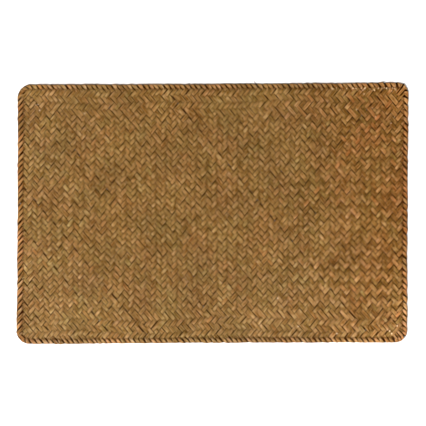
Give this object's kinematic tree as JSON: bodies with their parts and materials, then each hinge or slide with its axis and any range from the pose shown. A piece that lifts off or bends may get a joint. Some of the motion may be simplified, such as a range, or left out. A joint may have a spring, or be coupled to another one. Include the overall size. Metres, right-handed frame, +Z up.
{
  "type": "rush placemat",
  "caption": "Flat oblong table mat with rounded corners, plaited on the bias from flattened rush in a herringbone, with its strands folded in along the edge.",
  "frame": {"origin": "middle of the mat's box, on the underside that lies on the table", "axes": "+X along the mat, +Y across it towards the back edge, +Z up out of the table"},
  "size_m": [0.4518, 0.3022, 0.003],
  "materials": {
    "rush": "dried flattened rush, tan to olive brown from strand to strand, fine grain along each strand, semi-matt"
  },
  "bodies": {
    "root": {"plaited_mat": "rush"}
  },
  "joints": []
}
